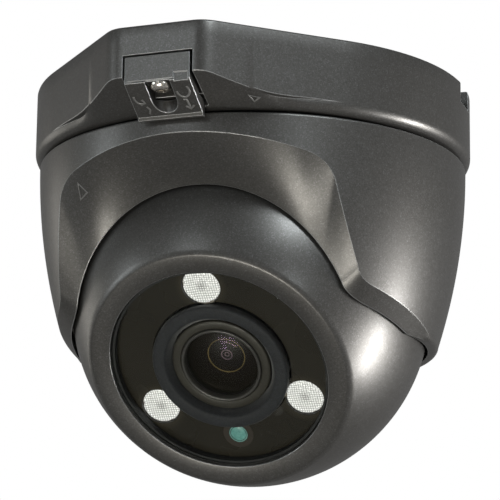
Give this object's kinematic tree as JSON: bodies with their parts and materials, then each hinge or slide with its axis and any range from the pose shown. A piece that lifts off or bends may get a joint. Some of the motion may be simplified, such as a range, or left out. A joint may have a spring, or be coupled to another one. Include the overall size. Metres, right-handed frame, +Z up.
{
  "type": "dome security camera",
  "caption": "Ceiling-mounted eyeball dome security camera: lobed base, tapered cover with an arch opening, and a ball carrying a round window, varifocal lens and infrared lights",
  "frame": {"origin": "Centre of the round part of the ceiling face, on the face itself. The camera hangs below it.", "axes": "+Z up into the ceiling, -Y towards the front where the lobe, the arch and the lens are, +X to the camera's left as it looks out."},
  "size_m": [0.113, 0.1234, 0.1012],
  "materials": {
    "graphite_paint": "fine speckled graphite metallic paint",
    "black_plastic": "black moulded plastic",
    "natural_nylon": "natural nylon",
    "black_rubber": "black rubber or foam",
    "stainless_steel": "stainless steel",
    "aluminium": "bare aluminium sheet",
    "board_green": "green solder mask",
    "board_black": "black solder mask",
    "lens_black": "dark olive-grey moulded barrel",
    "clear_glass": "polished glass",
    "smoked_panel": "smoked translucent plastic",
    "clear_acrylic": "clear moulded lens",
    "led_body": "yellowish emitter",
    "sensor_teal": "tinted clear resin",
    "filter_glass": "coated filter glass"
  },
  "bodies": {
    "base": {"base_housing": "graphite_paint", "cable_grommet": "black_rubber"},
    "lock": {"lock_block": "graphite_paint"},
    "lock_screw_body": {"lock_screw": "stainless_steel"},
    "cover": {"dome_cover": "graphite_paint", "bayonet_ring": "stainless_steel", "ball_seat": "natural_nylon", "clamp_ring": "black_plastic", "friction_ring": "black_rubber", "clamp_screw_1": "stainless_steel", "clamp_screw_2": "stainless_steel", "clamp_screw_3": "stainless_steel"},
    "tilt_collar": {"lead_guide": "natural_nylon"},
    "focus": {"focus_ring": "lens_black"},
    "front_lens": {"front_group": "lens_black", "front_element": "clear_glass"},
    "zoom": {"zoom_ring": "lens_black"},
    "zoom_lens": {"zoom_group": "lens_black"},
    "filter": {"ir_filter": "filter_glass"},
    "ball": {"ball_rear_cap": "graphite_paint", "ball_shell": "graphite_paint", "board_connector": "black_plastic", "board_standoff_1": "stainless_steel", "board_standoff_2": "stainless_steel", "board_standoff_3": "stainless_steel", "board_standoff_4": "stainless_steel", "bracket_plate": "aluminium", "bracket_post_1": "aluminium", "bracket_post_2": "aluminium", "bracket_post_3": "aluminium", "cable_gland": "black_rubber", "cap_post_1": "aluminium", "cap_post_2": "aluminium", "cap_post_3": "aluminium", "cap_screw_1": "stainless_steel", "cap_screw_2": "stainless_steel", "cap_screw_3": "stainless_steel", "cap_seal": "black_rubber", "front_glass": "clear_glass", "glass_gasket": "black_rubber", "image_sensor": "black_plastic", "ir_cut_frame": "black_plastic", "led_1": "led_body", "led_2": "led_body", "led_3": "led_body", "led_board": "board_black", "led_lens_1": "clear_acrylic", "led_lens_2": "clear_acrylic", "led_lens_3": "clear_acrylic", "lens_body": "lens_black", "lens_hood": "black_rubber", "lens_mount": "black_plastic", "light_sensor": "sensor_teal", "main_board": "board_green", "sensor_board": "board_green", "smoked_panel": "smoked_panel"}
  },
  "joints": [
    {"name": "lock_slide", "type": "slide", "parent": "base", "child": "lock", "axis": [0, 0, -1], "range_m": [0, 0.001]},
    {"name": "lock_screw_turn", "type": "hinge", "parent": "lock", "child": "lock_screw_body", "pos_m": [0, -0.0633, -0.0144], "axis": [0, 0, -1], "range_deg": [0, 720]},
    {"name": "pan", "type": "hinge", "parent": "base", "child": "cover", "pos_m": [0, 0, 0], "axis": [0, 0, 1], "range_deg": [-175, 175]},
    {"name": "tilt", "type": "hinge", "parent": "cover", "child": "tilt_collar", "pos_m": [0, 0, -0.0553], "axis": [1, 0, 0], "range_deg": [-37, 47.3]},
    {"name": "roll", "type": "hinge", "parent": "tilt_collar", "child": "ball", "pos_m": [0, 0, -0.0553], "axis": [0, -0.7349, -0.6782], "range_deg": [-175, 175]},
    {"name": "focus_turn", "type": "hinge", "parent": "ball", "child": "focus", "pos_m": [0, 0, -0.0553], "axis": [0, -0.7349, -0.6782], "range_deg": [0, 90]},
    {"name": "front_lens_slide", "type": "slide", "parent": "ball", "child": "front_lens", "axis": [0, -0.7349, -0.6782], "range_m": [0, 0.0008]},
    {"name": "zoom_turn", "type": "hinge", "parent": "ball", "child": "zoom", "pos_m": [0, 0, -0.0553], "axis": [0, -0.7349, -0.6782], "range_deg": [0, 100]},
    {"name": "zoom_lens_slide", "type": "slide", "parent": "ball", "child": "zoom_lens", "axis": [0, 0.7349, 0.6782], "range_m": [0, 0.003]},
    {"name": "filter_slide", "type": "slide", "parent": "ball", "child": "filter", "axis": [1, 0, 0], "range_m": [0, 0.0065]}
  ],
  "couplings": [
    {"joint": "lock_screw_turn", "follows": "lock_slide", "rad_per_m": 12566},
    {"joint": "front_lens_slide", "follows": "focus_turn", "m_per_rad": 0.0005092},
    {"joint": "zoom_lens_slide", "follows": "zoom_turn", "m_per_rad": 0.0017188}
  ]
}
